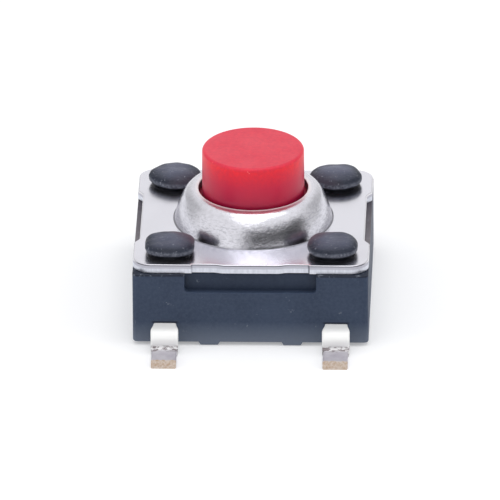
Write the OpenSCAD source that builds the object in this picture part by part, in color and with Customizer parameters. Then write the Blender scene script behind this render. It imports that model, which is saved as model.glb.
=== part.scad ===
// Tactile push button switch for surface mounting, about 6 mm square.
// X runs left to right, Y front to back, Z up. The origin is the middle of the
// footprint on the board plane, which the undersides of the four feet touch.

/* [Housing] */
// Width of the square moulded housing, on both sides
housing_w = 6.2; // [6:0.1:8]
// Height of the housing from its underside to its flat top
housing_h = 1.94; // [1.8:0.02:3.5]
// Gap between the board and the housing's underside
standoff = 0.1; // [0.1:0.01:0.3]
// Radius of the housing's upright corners
housing_corner_r = 0.12; // [0.08:0.01:0.4]
// Break of the housing's lower edges
housing_edge = 0.04; // [0.02:0.01:0.06]
// Radial room around the snap dome in the well
dome_room = 0.1; // [0.05:0.01:0.15]
// Bevel round the mouth of the well
well_bevel = 0.08; // [0.04:0.01:0.15]

/* [Housing faces] */
// Width of the shallow recess under the cover's front and back edges
recess_w = 3.46; // [2.5:0.02:4]
// Height of that recess
recess_h = 0.5; // [0.3:0.02:0.8]
// Depth of that recess
recess_depth = 0.22; // [0.1:0.01:0.3]
// Radius of its lower corners
recess_corner_r = 0.1; // [0.05:0.01:0.28]
// Distance of each stand-off pad from the middle
pad_x = 1.09; // [0.7:0.01:1.5]
// Width of a stand-off pad where it leaves the underside
pad_w = 0.6; // [0.4:0.02:0.8]
// Height of a stand-off pad
pad_h = 0.075; // [0.04:0.005:0.095]
// Length of a stand-off pad, front to back
pad_l = 0.8; // [0.4:0.05:1.2]
// Diameter of the round gate mark under the housing
gate_d = 1.2; // [0.8:0.1:1.6]
// Depth of the gate mark
gate_depth = 0.08; // [0.04:0.01:0.12]
// Diameter of the holes that the mould's holding pins leave under the rails
tool_hole_d = 0.4; // [0.3:0.02:0.44]
// Distance of those holes from the middle, front to back
tool_hole_y = 1.3; // [0.8:0.1:1.9]

/* [Staked studs] */
// Clearance between a melted head and the foot of the collar
head_to_collar = 0.21; // [0.1:0.01:0.3]
// Distance between a melted head and the sides of the housing
head_to_side = 0.28; // [0.2:0.01:0.4]
// How far a head reaches over the cover beyond its stud
head_overhang = 0.23; // [0.15:0.01:0.3]
// How far the head's foot stands back from its widest line
head_undercut = 0.1; // [0.02:0.01:0.1]
// Radial room between a stud and its hole in the cover
stud_room = 0.04; // [0.02:0.01:0.08]
// Height of the head's widest line above the cover
head_mid_h = 0.2; // [0.1:0.01:0.25]
// Whole height of the head above the cover
head_h = 0.4; // [0.3:0.01:0.5]

/* [Cover] */
// Thickness of the cover's flat sheet
cover_t = 0.25; // [0.2:0.01:0.35]
// How far the cover's front and back edges stand back from the housing
cover_setback = 0.1; // [0.05:0.01:0.2]
// Corner radius of the cover
cover_corner_r = 0.5; // [0.3:0.02:0.7]
// Rounding of the cover's upper edge, which the stamping rolled over
cover_edge_r = 0.07; // [0.02:0.01:0.1]
// Length of the notch in each side edge, along its inner edge
notch_l = 2.75; // [1.6:0.05:2.8]
// Length of the slant at each end of a notch, along the side
notch_slant = 0.22; // [0.1:0.02:0.3]
// Depth of the side notches
notch_depth = 0.14; // [0.05:0.01:0.25]
// Distance of each shear relief from the middle of the front and back edges
relief_x = 1.14; // [0.9:0.02:1.4]
// Width of a shear relief
relief_w = 0.8; // [0.5:0.02:0.9]
// Depth of a shear relief
relief_depth = 0.06; // [0.03:0.01:0.12]
// Length of the slope at a relief's inner end
relief_slope = 0.2; // [0.05:0.01:0.3]

/* [Collar] */
// Height of the drawn collar above the cover's flat sheet
collar_h = 0.88; // [0.84:0.02:1.4]
// Thickness of the drawn wall
collar_wall = 0.2; // [0.15:0.01:0.24]
// Width of the flat rim round the hole
rim_w = 0.09; // [0.06:0.01:0.15]
// Outer radius of the collar's shoulder
shoulder_r = 0.35; // [0.3:0.01:0.4]
// Lean of the collar's wall from upright, in degrees
collar_lean = 20; // [12:1:22]
// Radius of the hollow where the collar meets the flat sheet
foot_fillet_r = 0.04; // [0.03:0.01:0.14]
// Break of the hole's top edge
rim_break = 0.03; // [0.01:0.01:0.05]

/* [Button] */
// Diameter of the button's stem
button_d = 2.7; // [2.2:0.05:2.8]
// Radial running room between the stem and the hole in the collar
button_room = 0.09; // [0.06:0.01:0.1]
// Height of the button's top above the board
overall_h = 4.3; // [3.8:0.1:12]
// Travel of the button
button_travel = 0.25; // [0.15:0.01:0.35]
// Rounding of the button's top edge
button_edge_r = 0.08; // [0.04:0.01:0.2]
// Thickness of the flange that the collar holds in
flange_t = 0.6; // [0.4:0.02:0.8]
// Room between the flange and the collar's wall
flange_room = 0.08; // [0.05:0.01:0.12]
// Play between the flange and the collar's underside
flange_play = 0.02; // [0.01:0.01:0.05]
// Bevel on the flange's top edge
flange_bevel = 0.1; // [0.05:0.01:0.12]
// Diameter of the hub below the flange
hub_d = 2; // [1.4:0.1:2.2]
// Diameter of the pip that presses the dome
pip_d = 1; // [0.7:0.1:1.2]
// Height of the pip
pip_h = 0.3; // [0.2:0.02:0.5]
// Rounding of the pip's lower edge
pip_edge_r = 0.06; // [0.03:0.01:0.1]
// Play between the pip and the top of the dome
pip_play = 0.01; // [0.01:0.005:0.03]

/* [Snap dome] */
// Diameter of the snap dome
dome_d = 3.9; // [3.8:0.05:4.2]
// Thickness of the dome's sheet
dome_t = 0.07; // [0.05:0.01:0.1]
// Width of the flat land round the dome's rim
dome_land = 0.1; // [0.05:0.01:0.15]

/* [Lead frames] */
// Thickness of the lead frame sheet
lead_t = 0.2; // [0.15:0.01:0.22]
// Height of the lead's underside above the board where it leaves the housing
lead_exit_h = 0.45; // [0.44:0.01:0.6]
// Distance between the left and right leads
lead_pitch = 4.5; // [4.4:0.1:5]
// Width of a lead where it leaves the housing
exit_w = 0.61; // [0.5:0.01:0.7]
// Full width of a lead below its upper bend
lead_w = 0.71; // [0.6:0.01:0.8]
// Width of a lead at the narrow place of its lower bend
neck_w = 0.62; // [0.5:0.01:0.66]
// Width of a foot
foot_w = 0.66; // [0.58:0.01:0.8]
// Reach of a lead beyond the housing
lead_reach = 1.42; // [1:0.02:2]
// How far a foot's sheared end slants back from its underside to its top
tip_slant = 0.12; // [0.04:0.01:0.16]
// Straight length of a lead before its upper bend
lead_straight = 0.3; // [0.15:0.01:0.35]
// Inside radius of the upper bend
upper_bend_r = 0.12; // [0.08:0.01:0.13]
// Inside radius of the lower bend
lower_bend_r = 0.08; // [0.05:0.01:0.09]
// Width of the rail that joins a front lead to the back one
rail_w = 0.45; // [0.44:0.01:0.5]
// Length of a lead's wide root inside the housing
lead_root = 0.6; // [0.4:0.05:0.8]
// Outer radius of the ring that carries the dome
ring_r = 2.1; // [2:0.05:2.15]
// Width of that ring
ring_w = 0.6; // [0.5:0.05:0.8]
// Half angle of the ring's gap for the tongue, in degrees
ring_gap = 32; // [30:1:34]
// Width of the bridge from the ring to its rail
bridge_w = 1.4; // [0.8:0.1:1.8]
// Width of the tongue that carries the centre contact
tongue_w = 0.6; // [0.4:0.05:0.7]
// Diameter of the tongue's round end
tongue_end_d = 1.3; // [0.9:0.1:1.6]
// Diameter of the centre contact
centre_contact_d = 0.8; // [0.6:0.05:0.9]
// Diameter of each seat under the dome's rim
seat_d = 0.4; // [0.3:0.02:0.44]
// Height of the centre contact and the seats above the sheet
contact_h = 0.08; // [0.06:0.01:0.12]

/* [Hidden] */
$fn = 64;

// Arc steps: the finer one is for the shapes that show most
arc_steps = 6;
fine_arc_steps = 9;
// Overshoot of a cut past the face that it opens
over = 0.5;
// Overlap of pieces that are fused into one
lap = 0.1;

// Heights above the board
housing_top = standoff + housing_h;
cover_top = housing_top + cover_t;
collar_top = cover_top + collar_h;
floor_z = lead_exit_h + lead_t;
seat_z = floor_z + contact_h;

// Snap dome: its rise is the travel, so it meets the centre contact at the full stroke
dome_r = dome_d / 2;
dome_cap_r = dome_r - dome_land;
dome_curve_r = (dome_cap_r * dome_cap_r + button_travel * button_travel) / (2 * button_travel);
dome_curve_z = seat_z + button_travel - dome_curve_r;
dome_angle = asin(dome_cap_r / dome_curve_r);
dome_top = seat_z + button_travel + dome_t;
well_r = dome_r + dome_room;
seat_place_r = dome_r - dome_land / 2;

// Collar: the wall line is tangent to the shoulder and leans outwards to its foot
hole_r = button_d / 2 + button_room;
shoulder_x = hole_r + rim_w;
shoulder_z = collar_top - shoulder_r;
wall_x = shoulder_x + shoulder_r * cos(collar_lean);
wall_z = shoulder_z + shoulder_r * sin(collar_lean);
wall_gap = collar_wall / cos(collar_lean);
bend_r = foot_fillet_r + collar_wall;
function wall_at(z) = wall_x + (wall_z - z) * tan(collar_lean);
fillet_x = wall_at(cover_top + foot_fillet_r) + foot_fillet_r / cos(collar_lean);
bend_x = wall_at(housing_top + bend_r) - wall_gap + bend_r / cos(collar_lean);
join_r = max(fillet_x, bend_x) + lap / 2;

// Button
stem_r = button_d / 2;
flange_r = shoulder_x + shoulder_r - collar_wall - flange_room;
flange_top = collar_top - collar_wall - flange_play;
pip_z = dome_top + pip_play;
hub_z = pip_z + pip_h;

// Studs: each head fills the corner between the collar's foot and the sides, less its clearances
head_r = (sqrt(2) * (housing_w / 2 - head_to_side) - fillet_x - head_to_collar) / (1 + sqrt(2));
stud_place = housing_w / 2 - head_to_side - head_r;
stud_r = head_r - head_overhang;

// Lead frames
rail_x = lead_pitch / 2 + exit_w / 2 - rail_w / 2;
seat_angles = [45, 135, 225, 315];
neck_reach = lead_straight + upper_bend_r + lead_t + lower_bend_r;

function arc(x, y, r, from, to, steps) =
    [for (i = [0:steps]) let (a = from + (to - from) * i / steps) [x + r * cos(a), y + r * sin(a)]];

function rounded_outline(w, d, r, steps) = concat(
    arc(w / 2 - r, d / 2 - r, r, 0, 90, steps),
    arc(-w / 2 + r, d / 2 - r, r, 90, 180, steps),
    arc(-w / 2 + r, -d / 2 + r, r, 180, 270, steps),
    arc(w / 2 - r, -d / 2 + r, r, 270, 360, steps));

// Housing with its well, studs and the pockets that the lead frames fill
module base() {
    color([0.06, 0.07, 0.09])
    difference() {
        union() {
            housing_block();
            at_studs() stud();
            at_both_ends() standoff_pads();
        }
        well();
        at_both_ends() face_recess();
        underside_marks();
        centre_frame();
        outer_frame();
    }
}

// Block whose lower edges are broken all round
module housing_block() {
    hull() {
        translate([0, 0, standoff])
            housing_slice(housing_edge, housing_edge);
        translate([0, 0, standoff + housing_edge])
            housing_slice(housing_h - housing_edge, 0);
    }
}

module housing_slice(height, inset) {
    linear_extrude(height)
        polygon(rounded_outline(housing_w - 2 * inset, housing_w - 2 * inset,
            housing_corner_r - inset, arc_steps));
}

module at_studs() {
    for (x = [-stud_place, stud_place], y = [-stud_place, stud_place])
        translate([x, y, 0])
            children();
}

// Repeats a shape made for the back at the front
module at_both_ends() {
    for (flip = [0, 1])
        mirror([0, flip, 0])
            children();
}

// Post and the flattened head that was melted over the cover
module stud() {
    translate([0, 0, housing_top - lap])
        cylinder(h = cover_t + 2 * lap, r = stud_r);
    translate([0, 0, cover_top])
        rotate_extrude()
            polygon(head_profile());
}

// The head swells from its foot to its widest line and closes in a low dome, like a pebble
function head_profile() = concat(
    [[0, 0]],
    oval_quarter(head_r - head_undercut, head_mid_h, head_undercut, head_mid_h, -90),
    oval_quarter(0, head_mid_h, head_r, head_h - head_mid_h, 0));

// Quarter of an ellipse, counter-clockwise from an angle in degrees
function oval_quarter(x, y, half_w, half_h, from) =
    [for (i = [0:arc_steps]) let (a = from + 90 * i / arc_steps)
        [x + half_w * cos(a), y + half_h * sin(a)]];

module well() {
    translate([0, 0, floor_z])
        cylinder(h = housing_top - floor_z + over, r = well_r);
    translate([0, 0, housing_top - well_bevel])
        cylinder(h = 2 * well_bevel, r1 = well_r, r2 = well_r + 2 * well_bevel);
}

// Shallow recess in the back face, open at the top
module face_recess() {
    low = housing_top - recess_h;
    outline = concat(
        arc(-recess_w / 2 + recess_corner_r, low + recess_corner_r, recess_corner_r, 180, 270, arc_steps),
        arc(recess_w / 2 - recess_corner_r, low + recess_corner_r, recess_corner_r, 270, 360, arc_steps),
        [[recess_w / 2, housing_top + over], [-recess_w / 2, housing_top + over]]);
    translate([0, housing_w / 2 + over, 0])
        rotate([90, 0, 0])
            linear_extrude(recess_depth + over)
                polygon(outline);
}

// Two low pads with sloping sides under the back edge
module standoff_pads() {
    for (x = [-pad_x, pad_x])
        translate([x, housing_w / 2, standoff])
            rotate([90, 0, 0])
                linear_extrude(pad_l)
                    polygon([[-pad_w / 2, 0], [-pad_w / 2 + pad_h, -pad_h],
                        [pad_w / 2 - pad_h, -pad_h], [pad_w / 2, 0],
                        [pad_w / 2, lap], [-pad_w / 2, lap]]);
}

// Gate mark, and the holes of the pins that held the rails in the mould
module underside_marks() {
    translate([0, 0, standoff - over])
        cylinder(h = gate_depth + over, d = gate_d);
    for (x = [-rail_x, rail_x], y = [-tool_hole_y, tool_hole_y])
        translate([x, y, standoff - over])
            cylinder(h = lead_exit_h - standoff + over, d = tool_hole_d);
}

// Stamped sheet cover with its drawn collar
module cover() {
    color([0.83, 0.83, 0.86])
    union() {
        plate();
        rotate_extrude($fn = 96)
            polygon(collar_profile());
    }
}

module plate() {
    difference() {
        hull() {
            plate_slice(cover_t - cover_edge_r, 0);
            for (a = [30, 60, 90])
                plate_slice(cover_t - cover_edge_r * (1 - sin(a)), cover_edge_r * (1 - cos(a)));
        }
        translate([0, 0, housing_top - over])
            cylinder(h = cover_t + 2 * over, r = join_r - lap / 2);
        at_studs()
            translate([0, 0, housing_top - over])
                cylinder(h = cover_t + 2 * over, r = stud_r + stud_room);
        for (flip = [0, 1])
            mirror([flip, 0, 0])
                side_notch();
        at_both_ends() shear_reliefs();
    }
}

// Slab on the housing's top with the cover's outline drawn in by an inset
module plate_slice(height, inset) {
    translate([0, 0, housing_top])
        linear_extrude(height)
            polygon(rounded_outline(housing_w - 2 * inset, housing_w - 2 * (cover_setback + inset),
                cover_corner_r - inset, fine_arc_steps));
}

// Notch with slanted ends in the middle of the right edge
module side_notch() {
    half = notch_l / 2;
    slope = notch_slant / notch_depth;
    translate([housing_w / 2, 0, housing_top - over])
        linear_extrude(cover_t + 2 * over)
            polygon([[-notch_depth, -half], [over, -half - slope * (notch_depth + over)],
                [over, half + slope * (notch_depth + over)], [-notch_depth, half]]);
}

// Two shallow steps in the back edge, either side of where the strip was cut off
module shear_reliefs() {
    outer = relief_x + relief_w / 2;
    inner = relief_x - relief_w / 2;
    edge = housing_w / 2 - cover_setback;
    for (flip = [0, 1])
        mirror([flip, 0, 0])
            translate([0, 0, housing_top - over])
                linear_extrude(cover_t + 2 * over)
                    polygon([[inner, edge], [inner + relief_slope, edge - relief_depth],
                        [outer, edge - relief_depth], [outer, edge + over], [inner, edge + over]]);
}

// Section of the collar from the hole's lower edge, round the inside and back over the outside
function collar_profile() = concat(
    [[hole_r, collar_top - collar_wall]],
    arc(shoulder_x, shoulder_z, shoulder_r - collar_wall, 90, collar_lean, arc_steps),
    arc(bend_x, housing_top + bend_r, bend_r, 180 + collar_lean, 270, arc_steps),
    [[join_r, housing_top], [join_r, cover_top]],
    arc(fillet_x, cover_top + foot_fillet_r, foot_fillet_r, 270, 180 + collar_lean, arc_steps),
    arc(shoulder_x, shoulder_z, shoulder_r, collar_lean, 90, fine_arc_steps),
    [[hole_r + rim_break, collar_top], [hole_r, collar_top - rim_break]]);

// Plunger: stem, flange under the collar, hub and pip
module button() {
    color([0.8, 0.09, 0.13])
    rotate_extrude($fn = 96)
        polygon(button_profile());
}

function button_profile() = concat(
    [[0, pip_z]],
    arc(pip_d / 2 - pip_edge_r, pip_z + pip_edge_r, pip_edge_r, 270, 360, arc_steps),
    [[pip_d / 2, hub_z], [hub_d / 2, hub_z], [hub_d / 2, flange_top - flange_t],
        [flange_r, flange_top - flange_t], [flange_r, flange_top - flange_bevel],
        [flange_r - flange_bevel, flange_top], [stem_r, flange_top]],
    arc(stem_r - button_edge_r, overall_h - button_edge_r, button_edge_r, 0, 90, arc_steps),
    [[0, overall_h]]);

// Snap disc, shown relaxed, with a flat land that sits on the four seats
module contact_dome() {
    color([0.78, 0.78, 0.76])
    rotate_extrude()
        polygon(concat(
            dome_arc(dome_curve_r, 0, dome_angle),
            [[dome_r, seat_z], [dome_r, seat_z + dome_t]],
            dome_arc(dome_curve_r + dome_t, dome_angle, 0)));
}

function dome_arc(r, from, to) =
    [for (i = [0:fine_arc_steps]) let (a = from + (to - from) * i / fine_arc_steps)
        [r * sin(a), dome_curve_z + r * cos(a)]];

module centre_terminal() {
    color([0.79, 0.78, 0.76])
    union() {
        centre_frame();
        lead_pair(-lead_pitch / 2);
    }
}

module outer_terminal() {
    color([0.79, 0.78, 0.76])
    union() {
        outer_frame();
        lead_pair(lead_pitch / 2);
    }
}

// Left rail and the tongue with the centre contact
module centre_frame() {
    mirror([1, 0, 0])
        rail();
    translate([-rail_x, -tongue_w / 2, lead_exit_h])
        cube([rail_x, tongue_w, lead_t]);
    translate([0, 0, lead_exit_h]) {
        cylinder(h = lead_t, d = tongue_end_d);
        cylinder(h = lead_t + contact_h, d = centre_contact_d);
    }
}

// Right rail, the open ring and the four seats of the dome
module outer_frame() {
    rail();
    translate([ring_r - ring_w / 2, -bridge_w / 2, lead_exit_h])
        cube([rail_x - ring_r + ring_w / 2, bridge_w, lead_t]);
    difference() {
        translate([0, 0, lead_exit_h])
            cylinder(h = lead_t, r = ring_r);
        translate([0, 0, lead_exit_h - over])
            cylinder(h = lead_t + 2 * over, r = ring_r - ring_w);
        ring_gap_cut();
    }
    for (a = seat_angles)
        rotate([0, 0, a])
            translate([seat_place_r, 0, lead_exit_h])
                cylinder(h = lead_t + contact_h, d = seat_d);
}

module ring_gap_cut() {
    far = 2 * ring_r;
    translate([0, 0, lead_exit_h - over])
        linear_extrude(lead_t + 2 * over)
            polygon([[0, 0], [-far * cos(ring_gap), far * sin(ring_gap)],
                [-far * cos(ring_gap), -far * sin(ring_gap)]]);
}

// Right rail with a wider root for a lead at each end
module rail() {
    translate([rail_x - rail_w / 2, -housing_w / 2, lead_exit_h])
        cube([rail_w, housing_w, lead_t]);
    at_both_ends()
        translate([lead_pitch / 2 - exit_w / 2, housing_w / 2 - lead_root, lead_exit_h])
            cube([exit_w, lead_root, lead_t]);
}

module lead_pair(x) {
    translate([x, 0, 0])
        at_both_ends() lead();
}

// Back lead: the bent side profile within the plan outline, which narrows at the lower bend
module lead() {
    translate([0, housing_w / 2, 0])
        intersection() {
            translate([-lead_w, 0, 0])
                rotate([90, 0, 90])
                    linear_extrude(2 * lead_w)
                        polygon(lead_profile());
            translate([0, 0, -over])
                linear_extrude(floor_z + 2 * over)
                    polygon(lead_outline());
        }
}

// Side profile as reach and height, with the top face first and the underside on the way back
function lead_profile() = concat(
    [[-lap, floor_z]],
    arc(lead_straight, lead_exit_h - upper_bend_r, upper_bend_r + lead_t, 90, 0, arc_steps),
    arc(neck_reach, lead_t + lower_bend_r, lower_bend_r, 180, 270, arc_steps),
    [[lead_reach - tip_slant, lead_t], [lead_reach, 0]],
    arc(neck_reach, lead_t + lower_bend_r, lower_bend_r + lead_t, 270, 180, arc_steps),
    arc(lead_straight, lead_exit_h - upper_bend_r, upper_bend_r, 0, 90, arc_steps),
    [[-lap, lead_exit_h]]);

function lead_outline() = let (side = [[exit_w / 2, -lap], [exit_w / 2, 0],
        [lead_w / 2, lead_straight + upper_bend_r], [lead_w / 2, neck_reach - lower_bend_r],
        [neck_w / 2, neck_reach + lower_bend_r],
        [foot_w / 2, neck_reach + lower_bend_r + lead_t], [foot_w / 2, lead_reach]])
    concat(side, [for (i = [len(side) - 1:-1:0]) [-side[i][0], side[i][1]]]);

base();
cover();
button();
contact_dome();
centre_terminal();
outer_terminal();
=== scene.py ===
import math

import bmesh
import bpy
from mathutils import Matrix, Vector, noise


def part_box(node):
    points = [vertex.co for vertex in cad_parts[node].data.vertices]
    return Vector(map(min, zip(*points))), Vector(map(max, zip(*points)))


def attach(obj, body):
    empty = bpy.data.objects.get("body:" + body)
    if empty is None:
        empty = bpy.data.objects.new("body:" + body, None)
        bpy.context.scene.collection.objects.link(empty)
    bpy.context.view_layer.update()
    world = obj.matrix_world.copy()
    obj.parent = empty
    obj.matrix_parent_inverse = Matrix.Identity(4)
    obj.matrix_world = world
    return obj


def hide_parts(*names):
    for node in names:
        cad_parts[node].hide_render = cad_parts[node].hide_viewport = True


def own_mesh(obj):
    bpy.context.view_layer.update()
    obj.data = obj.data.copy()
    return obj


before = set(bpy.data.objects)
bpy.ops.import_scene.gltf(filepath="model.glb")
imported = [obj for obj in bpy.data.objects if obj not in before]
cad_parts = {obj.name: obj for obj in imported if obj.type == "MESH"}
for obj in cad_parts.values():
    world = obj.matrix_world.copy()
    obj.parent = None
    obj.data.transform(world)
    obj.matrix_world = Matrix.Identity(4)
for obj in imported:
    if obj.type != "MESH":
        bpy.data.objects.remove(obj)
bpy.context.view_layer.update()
print("frame loaded:", ", ".join(sorted(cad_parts)))

mm = 0.001  # pieces are modelled in millimetres and scaled once, when they are finished
weld = 1e-4  # points nearer to each other than this are merged
near = 1e-3  # tolerance for choosing edges and corners by their place


def nodeBox(node):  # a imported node's lowest and highest corners, in millimetres
    low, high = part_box(node)
    return low / mm, high / mm


coverLow, coverHigh = nodeBox("cover")
baseLow, baseHigh = nodeBox("base")
buttonLow, buttonHigh = nodeBox("button")
domeLow, domeHigh = nodeBox("contact_dome")
leadTip = nodeBox("outer_terminal")[1].y
housingHalf = baseHigh.x
housingTop = coverLow.z
collarTop = coverHigh.z
domeRadius = domeHigh.x

# Sizes that more than one piece follows
sheet = {"thickness": 0.25, "collarWall": 0.2}  # the cover's flat sheet and its drawn wall
leadSheet = {"thickness": 0.2, "exitHeight": 0.45}  # where a lead leaves the housing
frameSizes = {"exitWidth": 0.61, "railWidth": 0.45, "pitch": 4.5, "ring": 2.1, "ringWidth": 0.6,
              "gap": 32, "bridge": 1.4, "tongue": 0.6, "tongueEnd": 0.65, "centre": 0.4,
              "seat": 0.2, "rise": 0.08}
plateTop = housingTop + sheet["thickness"]
wellFloor = leadSheet["exitHeight"] + leadSheet["thickness"]
railX = frameSizes["pitch"] / 2 + frameSizes["exitWidth"] / 2 - frameSizes["railWidth"] / 2


# Modelling helpers

def arcPoints(centre, radius, start, end, steps):  # points of an arc in a side profile
    turn = [math.radians(start + (end - start) * i / steps) for i in range(steps + 1)]
    return [(centre[0] + radius * math.cos(a), centre[1] + radius * math.sin(a)) for a in turn]


def spinProfile(bm, points, steps):  # turns a side profile about the upright axis
    chain = [bm.verts.new((x, 0, z)) for x, z in points]
    edges = [bm.edges.new(pair) for pair in zip(chain, chain[1:])]
    before = set(bm.verts) - set(chain)
    bmesh.ops.spin(bm, geom=chain + edges, cent=(0, 0, 0), axis=(0, 0, 1),
                   angle=math.tau, steps=steps, use_merge=True)
    made = [v for v in bm.verts if v not in before]
    bmesh.ops.remove_doubles(bm, verts=made, dist=weld)
    return [v for v in bm.verts if v not in before]


def addBlock(bm, low, high):  # closed block between two corners
    made = bmesh.ops.create_cube(bm, size=1)["verts"]
    size = Vector(high) - Vector(low)
    bmesh.ops.scale(bm, vec=size, verts=made)
    bmesh.ops.translate(bm, vec=(Vector(low) + Vector(high)) / 2, verts=made)
    return made


def addRod(bm, radius, low, high, steps, place=(0, 0)):  # closed upright cylinder
    made = bmesh.ops.create_cone(bm, cap_ends=True, segments=steps, radius1=radius,
                                 radius2=radius, depth=high - low)["verts"]
    bmesh.ops.translate(bm, vec=(place[0], place[1], (low + high) / 2), verts=made)


def bevelEdges(bm, edges, width, segments):
    bmesh.ops.bevel(bm, geom=edges, offset=width, segments=segments, profile=0.5,
                    affect="EDGES", clamp_overlap=True, material=-1)


def roundCorners(bm, corners, width, segments):
    bmesh.ops.bevel(bm, geom=corners, offset=width, segments=segments, profile=0.5,
                    affect="VERTICES", clamp_overlap=True, material=-1)


def edgesWhere(bm, test):
    return [e for e in bm.edges if all(test(v.co) for v in e.verts)]


def meshFrom(bm, name):
    mesh = bpy.data.meshes.new(name)
    bm.to_mesh(mesh)
    bm.free()
    return mesh


def addObject(name, data):
    item = bpy.data.objects.new(name, data)
    bpy.context.scene.collection.objects.link(item)
    return item


def carve(bm, cutter):  # cuts one closed mesh out of another
    body = addObject("carveBody", meshFrom(bm, "carveBody"))
    tool = addObject("carveTool", meshFrom(cutter, "carveTool"))
    cut = body.modifiers.new("cut", "BOOLEAN")
    cut.operation = "DIFFERENCE"
    cut.solver = "EXACT"
    cut.use_self = True
    cut.object = tool
    result = bmesh.new()
    result.from_object(body, bpy.context.evaluated_depsgraph_get())
    for item in (body, tool):
        bpy.data.objects.remove(item)
    return result


def finishPiece(bm, name, body, node, materials, sharp=32, flat=0.99995):
    bmesh.ops.remove_doubles(bm, verts=bm.verts, dist=weld)
    bmesh.ops.recalc_face_normals(bm, faces=bm.faces)
    for face in bm.faces:  # flat faces stay flat, so that their edge rounding doesn't tilt them
        face.smooth = max(abs(n) for n in face.normal) < flat
    for edge in bm.edges:
        edge.smooth = len(edge.link_faces) == 2 and edge.calc_face_angle() < math.radians(sharp)
    bmesh.ops.scale(bm, vec=(mm, mm, mm), verts=bm.verts)
    piece = addObject(name, meshFrom(bm, name))
    for material in materials:
        piece.data.materials.append(material)
    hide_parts(node)
    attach(piece, body)
    print("made", name, len(piece.data.polygons), "faces")
    return piece


# Material helpers

def newMaterial(name):
    material = bpy.data.materials.new(name)
    material.use_nodes = True
    return material, material.node_tree, material.node_tree.nodes["Principled BSDF"]


def addNode(tree, kind, links=None, **values):  # a node with its values and incoming links
    node = tree.nodes.new(kind)
    for key, value in values.items():
        if key in node.inputs:
            node.inputs[key].default_value = value
        else:
            setattr(node, key, value)
    for key, source in (links or {}).items():
        tree.links.new(source, node.inputs[key])
    return node


def feed(tree, node, values):  # links sockets, and sets plain values directly
    for key, value in values.items():
        if isinstance(value, bpy.types.NodeSocket):
            tree.links.new(value, node.inputs[key])
        else:
            node.inputs[key].default_value = value


def addMath(tree, operation, *values):  # on sockets and plain values
    node = addNode(tree, "ShaderNodeMath", operation=operation)
    feed(tree, node, dict(enumerate(values)))
    return node.outputs[0]


def product(tree, *shares):
    result = shares[0]
    for share in shares[1:]:
        result = addMath(tree, "MULTIPLY", result, share)
    return result


def magnitude(tree, value):
    return addMath(tree, "ABSOLUTE", value)


def distanceFrom(tree, value, centre):  # how far a place is from one in millimetres
    return magnitude(tree, addMath(tree, "SUBTRACT", value, centre * mm))


def noiseAt(tree, place, scale, detail=3, roughness=0.5, stretch=None):
    source = place
    if stretch:
        source = addNode(tree, "ShaderNodeMapping", {"Vector": place}, Scale=stretch).outputs[0]
    return addNode(tree, "ShaderNodeTexNoise", {"Vector": source}, Scale=scale, Detail=detail,
                   Roughness=roughness).outputs["Fac"]


def rampAt(tree, factor, stops):  # colour ramp from (position, colour) pairs
    ramp = addNode(tree, "ShaderNodeValToRGB", {"Fac": factor})
    elements = ramp.color_ramp.elements
    while len(elements) < len(stops):
        elements.new(0.5)
    for element, (position, colour) in zip(elements, stops):
        element.position = position
        element.color = (*colour, 1)
    return ramp.outputs["Color"]


def mixColour(tree, factor, first, second):  # colours are sockets or plain values
    mix = addNode(tree, "ShaderNodeMix", data_type="RGBA")
    first, second = (c if isinstance(c, bpy.types.NodeSocket) else (*c, 1) for c in (first, second))
    feed(tree, mix, {0: factor, 6: first, 7: second})
    return mix.outputs[2]


def mapRange(tree, value, fromLow, fromHigh, toLow=0, toHigh=1):
    return addNode(tree, "ShaderNodeMapRange", {"Value": value}, **{
        "From Min": fromLow, "From Max": fromHigh, "To Min": toLow, "To Max": toHigh}).outputs[0]


def fade(tree, place, start, end, fromShare=0, toShare=1):  # between two places in millimetres
    return mapRange(tree, place, start * mm, end * mm, fromShare, toShare)


def fadeFrom(tree, place, origin, steps, fromShare=0, toShare=1):  # steps in millimetres from a place
    return fade(tree, place, origin + steps[0], origin + steps[1], fromShare, toShare)


def bumpFrom(tree, height, strength, depth, under=None):  # the depth in millimetres
    links = {"Height": height}
    if under:
        links["Normal"] = under
    return addNode(tree, "ShaderNodeBump", links, Strength=strength, Distance=depth * mm).outputs[0]


def objectPlace(tree):
    return addNode(tree, "ShaderNodeTexCoord").outputs["Object"]


def axesAt(tree, place):
    return addNode(tree, "ShaderNodeSeparateXYZ", {"Vector": place}).outputs[:]


def radiusAt(tree, place):  # distance from the upright axis
    flat = addNode(tree, "ShaderNodeVectorMath", {0: place}, operation="MULTIPLY")
    flat.inputs[1].default_value = (1, 1, 0)
    return addNode(tree, "ShaderNodeVectorMath", {0: flat.outputs[0]}, operation="LENGTH").outputs["Value"]


# Finishes: each has its colours, its pattern scales and its places in one dictionary.
# A pair of places is where a fade starts and ends, in millimetres.

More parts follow.
